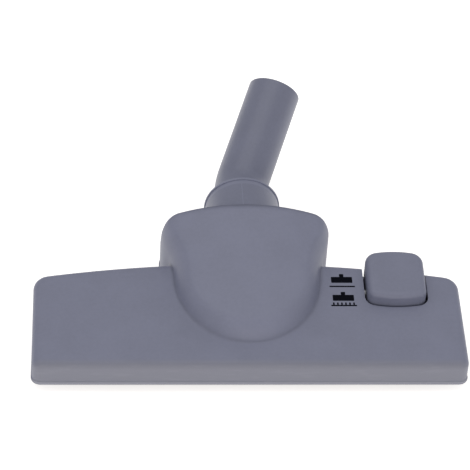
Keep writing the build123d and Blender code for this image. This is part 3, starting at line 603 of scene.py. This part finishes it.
# %% The fibres and their colour
dust_start, dust_end = 0.2 * MM, 4 * MM
strand_size = 0.7 * MM
fibre_black = paint(34, 35, 40)
tip_grey = paint(92, 90, 90)
fibre_roughness, dust_roughness = 0.38, 0.25
bristle_finish = Finish("bristle_fibre", {"IOR": 1.53, "Specular IOR Level": 0.5})
dusty = 1 - bristle_finish.ease(bristle_finish.along("Z"), dust_start, dust_end)
strand = bristle_finish.noise(strand_size, detail=2.0)
fibre_colour = bristle_finish.tint(dusty * strand, fibre_black, tip_grey)
bristle_finish.set("Base Color", fibre_colour)
bristle_finish.set("Roughness", fibre_roughness + dust_roughness * dusty)
brush.end(strip, bristle_finish)

strip_nodes = ["front_bristles", "rear_left_bristles", "rear_right_bristles"]
margin = 2 * MM
root_sink = 1 * MM
line_mesh = bpy.data.meshes.new("brush_lines")
ends = []
for name in strip_nodes:
    low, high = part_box(name)
    middle = (low[1] + high[1]) / 2
    root_height = high[2] - root_sink
    ends += [(low[0] + margin, middle, root_height), (high[0] - margin, middle, root_height)]
line_mesh.from_pydata(ends, [(i, i + 1) for i in range(0, len(ends), 2)], [])
brush_fibres = brush.grow("brush_bristles", line_mesh)
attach(brush_fibres, "brush")
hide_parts(*strip_nodes)
print("brush fibres", len(brush_fibres.data.polygons), "faces")

# %% [markdown]
# Beside the suction slot lie two velour strips that lift lint and hair: a woven backing with a
# short dense pile, combed one way. The start mesh is the two backings, and the growth scatters
# fibres over the faces that look down. Their lean is mostly the nap, and partly chance.

# %% How velour grows
pile_seed = 5
nap_seed = 17
nap_low, nap_high = (0.05, -0.3, 0.0), (0.55, 0.3, 3.0)
looks_down = -0.9
velour = Growth("velour_pile")
density = velour.size("Fibres per square metre", 1.7e6)
pile_length = velour.size("Pile length", 0.85 * MM)
pile_root = velour.size("Pile root radius", 0.16 * MM)
pile_tip = velour.size("Pile tip radius", 0.08 * MM)
facing = velour.node("GeometryNodeInputNormal", {}, {})
down = velour.node("ShaderNodeSeparateXYZ", {}, {0: facing}, "Z") < looks_down
spots = velour.node(
    "GeometryNodeDistributePointsOnFaces",
    {"distribute_method": "RANDOM"},
    {"Mesh": velour.start, "Selection": down, "Density": density, "Seed": pile_seed},
)
nap = scatter(velour, nap_low, nap_high, nap_seed)
one_hair = fibre(velour, pile_length, pile_root, pile_tip)
pile = velour.node(
    "GeometryNodeInstanceOnPoints",
    {},
    {"Points": spots, "Instance": one_hair, "Rotation": nap},
)
cloth = velour.node("GeometryNodeJoinGeometry", {}, {"Geometry": pile})
velour.tree.links.new(velour.start.socket, cloth.socket.node.inputs["Geometry"])
print("velour tree has", len(velour.tree.nodes), "nodes")

# %% [markdown]
# Lint pile is dyed a deep red on many heads, and this one's is out of sight, so that is a guess.
# A little sheen stands for light caught in the fibre tips, and the dye varies in soft clouds.

# %% The two lint strips
dye_size = 5 * MM
lint_red = paint(118, 30, 34)
pile_roughness, dye_roughness = 0.8, 0.15
velour_finish = Finish("velour_pile", {"Sheen Weight": 0.5, "Sheen Roughness": 0.4})
dye = velour_finish.noise(dye_size, detail=4.0)
clouds = velour_finish.ease(dye, noise_low, noise_high)
lint_colour = velour_finish.tint(clouds, shade(lint_red, 0.7), lint_red)
velour_finish.set("Base Color", lint_colour)
velour_finish.set("Roughness", pile_roughness + dye_roughness * dye)
velour.end(cloth, velour_finish)

strip_shape = bmesh.new()
lint_nodes = ["front_lint_strip", "rear_lint_strip"]
backing_height = 0.7 * MM
for name in lint_nodes:
    low, high = (Vector(corner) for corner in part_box(name))
    low.z = high.z - backing_height
    size = Matrix.Diagonal((*(high - low), 1.0))
    bmesh.ops.create_cube(
        strip_shape, size=1.0, matrix=Matrix.Translation((low + high) / 2) @ size
    )
strip_mesh = bpy.data.meshes.new("lint_backing")
strip_shape.to_mesh(strip_mesh)
strip_shape.free()
lint_pile = velour.grow("lint_pile", strip_mesh)
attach(lint_pile, "housing")
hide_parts(*lint_nodes)
print("lint pile", len(lint_pile.data.polygons), "faces")

# %% [markdown]
# Beside the pedal two small signs are pad-printed in black: a nozzle over a line for carpet, and a
# nozzle with bristles for a hard floor. A texture could draw them, but a mesh keeps crisp shapes
# better than a mask, so each bar is a thin skin of ink laid on the cover. Rays cast down on the
# cover find the height of every corner.

# %% Ink that lies on the cover
ink_lift = 0.06 * MM
ink_depth = 0.03 * MM
ink_corner = 0.35 * MM
ray_height = 1.0
cover = nodes["top_cover"]
signs = bmesh.new()


def lie_on_cover(x, distance):
    """The point and normal of the cover's top at x, a distance behind the front edge."""
    above = Vector((x, front_edge + distance, ray_height))
    _, place, normal, _ = cover.ray_cast(above, Vector((0, 0, -1)))
    return place, normal


def print_bar(x, distance, width, depth):
    """One bar of ink with clipped corners, centred on x, its front edge at a distance."""
    half = width / 2
    cut = min(ink_corner, half / 2, depth / 3)
    corners = [
        (x - half + cut, distance),
        (x + half - cut, distance),
        (x + half, distance + cut),
        (x + half, distance + depth - cut),
        (x + half - cut, distance + depth),
        (x - half + cut, distance + depth),
        (x - half, distance + depth - cut),
        (x - half, distance + cut),
    ]
    spots = [lie_on_cover(*corner) for corner in corners]
    top = [signs.verts.new(place + normal * ink_lift) for place, normal in spots]
    bottom = [signs.verts.new(place - normal * ink_depth) for place, normal in spots]
    signs.faces.new(top)
    signs.faces.new(bottom[::-1])
    for i in range(len(top)):
        j = (i + 1) % len(top)
        signs.faces.new((top[j], top[i], bottom[i], bottom[j]))


print("ink lies", round(ink_lift / MM, 3), "mm proud of the cover")

# %% [markdown]
# Both signs share one nozzle: a bar and a stem. The upper one has a bare line under it, the lower
# one six bristles that stand on its line.

# %% The two signs
sign_x = 64.6 * MM
nozzle_width = 14.5 * MM
nozzle_depth = 5.2 * MM
stem_width = 3.0 * MM
stem_depth = 2.6 * MM
line_width = 17.6 * MM
line_depth = 1.15 * MM
bristle_count = 6
bristle_pitch = 2.75 * MM
bristle_width = 1.1 * MM
bristle_depth = 2.1 * MM
carpet_sign = 70.7 * MM
carpet_line = carpet_sign - 3.8 * MM
floor_sign = 54.8 * MM
floor_line = floor_sign - 4.7 * MM


def print_nozzle(distance):
    """The nozzle of a sign, its front edge at a distance behind the head's front edge."""
    print_bar(sign_x, distance, nozzle_width, nozzle_depth)
    print_bar(sign_x, distance + nozzle_depth - ink_depth, stem_width, stem_depth)


print_nozzle(carpet_sign)
print_bar(sign_x, carpet_line, line_width, line_depth)
print_nozzle(floor_sign)
print_bar(sign_x, floor_line, line_width, line_depth)
for number in range(bristle_count):
    bristle_x = sign_x + (number - (bristle_count - 1) / 2) * bristle_pitch
    print_bar(bristle_x, floor_line + line_depth - ink_depth, bristle_width, bristle_depth)

ink_black = paint(4, 6, 16)
thin_size = 1.5 * MM
thin_low, thin_high = 0.62, 0.85
thin_share = 0.12
ink_roughness, grain_roughness = 0.55, 0.15
ink_finish = Finish("sign_ink", {"IOR": plastic_ior, "Specular IOR Level": 0.05})
cover_grain = ink_finish.noise(grain_size, detail=3.0)
thin = ink_finish.ease(ink_finish.noise(thin_size, detail=4.0), thin_low, thin_high) * thin_share
ink_finish.set("Base Color", ink_finish.tint(thin, ink_black, shade(blue_grey, 0.5)))
ink_finish.set("Roughness", ink_roughness + grain_roughness * cover_grain)
ink_finish.relief(cover_grain, grain_depth, strength=0.4)

sign_mesh = bpy.data.meshes.new("signs")
bmesh.ops.recalc_face_normals(signs, faces=signs.faces)
signs.to_mesh(sign_mesh)
signs.free()
sign_mesh.materials.append(ink_finish.material)
sign_piece = bpy.data.objects.new("signs", sign_mesh)
bpy.context.scene.collection.objects.link(sign_piece)
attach(sign_piece, "housing")
print("signs", len(sign_mesh.polygons), "faces")

# %% [markdown]
# In the photograph everything round the head is white. A large pale floor that glows a little
# gives that white, lifts the front face from below, and still keeps a faint shadow where the head
# stands.

# %% Floor
floor_size = 6.0
floor_gap = 0.3 * MM
floor_white = (0.85, 0.85, 0.86, 1.0)
glow_colour = (1.0, 0.97, 0.92, 1.0)
glow_strength = 0.64
floor_mesh = bpy.data.meshes.new("floor")
reach = floor_size / 2
floor_corners = [(-reach, -reach), (reach, -reach), (reach, reach), (-reach, reach)]
floor_mesh.from_pydata([(x, y, -floor_gap) for x, y in floor_corners], [], [(0, 1, 2, 3)])
floor = bpy.data.objects.new("floor", floor_mesh)
bpy.context.scene.collection.objects.link(floor)
floor_finish = Finish("pale_floor", {"Roughness": 0.9, "Specular IOR Level": 0.1})
floor_finish.set("Base Color", floor_white)
floor_finish.set("Emission Color", glow_colour)
floor_finish.set("Emission Strength", glow_strength)
floor_mesh.materials.append(floor_finish.material)
print("floor", floor_size, "m across")

# %% [markdown]
# One broad light hangs overhead, another stands low in front, and the white room fills what is
# left. Broad lights have soft edges, so the head has gentle shading and no hard shadow.

# %% Lights
def soft_light(name, place, aim, size, power, colour):
    """A square area light that looks from its place to its aim."""
    lamp = bpy.data.lights.new(name, "AREA")
    lamp.size = size
    lamp.energy = power
    lamp.color = colour
    light = bpy.data.objects.new(name, lamp)
    light.location = place
    direction = Vector(aim) - Vector(place)
    light.rotation_euler = direction.to_track_quat("-Z", "Y").to_euler()
    bpy.context.scene.collection.objects.link(light)


head_middle = (0.0, 0.0, 0.03)
white = (1.0, 1.0, 1.0)
warm_white = (1.0, 0.93, 0.84)
light_power = 5.0
room_strength = 0.62
overhead_place = (-0.1, 0.0, 1.5)
front_place = (0.1, -1.8, 0.6)
soft_light("overhead", overhead_place, head_middle, size=1.4, power=light_power, colour=white)
soft_light("front", front_place, head_middle, size=1.3, power=light_power, colour=warm_white)
world = bpy.data.worlds.new("studio")
world.use_nodes = True
background = world.node_tree.nodes["Background"]
background.inputs["Color"].default_value = (*white, 1.0)
background.inputs["Strength"].default_value = room_strength
bpy.context.scene.world = world
bpy.context.scene.view_settings.view_transform = "Standard"
print("lit by two soft lights and a white room")

# %% [markdown]
# The camera stands where the photographer stood. Its place, aim and focal length were fitted so
# that the head's outline falls on the outline in the photograph: about one and a half metres away,
# a little left of the middle, and looking down at forty degrees.

# %% Camera
camera_place = Vector((-106.1, -1132.3, 980.0)) * MM
camera_azimuth = radians(5.07)
camera_drop = radians(39.85)
camera_roll = radians(3.51)
focal_length = 161.9
sensor_width = 36.0
forward = Vector(
    (
        sin(camera_azimuth) * cos(camera_drop),
        cos(camera_azimuth) * cos(camera_drop),
        -sin(camera_drop),
    )
)
level_right = Vector((cos(camera_azimuth), -sin(camera_azimuth), 0))
level_up = level_right.cross(forward)
right = level_right * cos(camera_roll) + level_up * sin(camera_roll)
up = level_up * cos(camera_roll) - level_right * sin(camera_roll)
lens = bpy.data.cameras.new("camera")
lens.sensor_width = sensor_width
lens.lens = focal_length
camera = bpy.data.objects.new("camera", lens)
turn = Matrix((right, up, -forward)).transposed().to_4x4()
camera.matrix_world = Matrix.Translation(camera_place) @ turn
bpy.context.scene.collection.objects.link(camera)
bpy.context.scene.camera = camera
print("camera", round(camera_place.length, 2), "m from the head")
